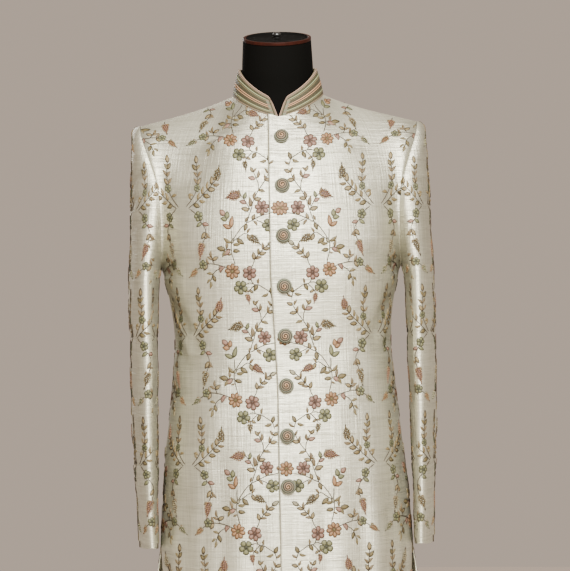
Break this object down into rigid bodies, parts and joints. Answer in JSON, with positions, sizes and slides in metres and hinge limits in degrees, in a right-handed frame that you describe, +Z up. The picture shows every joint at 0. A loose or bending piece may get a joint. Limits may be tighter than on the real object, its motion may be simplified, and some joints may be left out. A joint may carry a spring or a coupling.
{
  "type": "sherwani coat on a dress form",
  "caption": "Knee-length embroidered silk sherwani coat with a stand collar and front buttons, worn by a limbless black dress form on a round-based stand.",
  "frame": {"origin": "on the floor under the middle of the stand's round base", "axes": "+Z up, the coat's front faces -Y, the wearer's left is +X"},
  "size_m": [0.4628, 0.38, 1.5621],
  "materials": {
    "silk": "raw silk with fine horizontal slubs, soft sheen, embroidered all over",
    "collar_silk": "silk covered in rows of couched cord, matte",
    "embroidery_thread": "couched embroidery cord and satin stitch in gold, rose, peach and sage",
    "form_jersey": "matte stretched jersey",
    "cap_wood": "polished",
    "knob_lacquer": "gloss",
    "stand_steel": "satin black"
  },
  "bodies": {
    "root": {"front_left": "silk", "front_right": "silk", "back_left": "silk", "back_right": "silk", "top_sleeve_left": "silk", "top_sleeve_right": "silk", "under_sleeve_left": "silk", "under_sleeve_right": "silk", "collar": "collar_silk", "button_1": "embroidery_thread", "button_2": "embroidery_thread", "button_3": "embroidery_thread", "button_4": "embroidery_thread", "button_5": "embroidery_thread", "button_6": "embroidery_thread", "button_7": "embroidery_thread", "button_8": "embroidery_thread", "form_torso": "form_jersey", "neck_cap": "cap_wood", "cap_knob": "knob_lacquer", "stand_pole": "stand_steel", "stand_base": "stand_steel"}
  },
  "joints": []
}
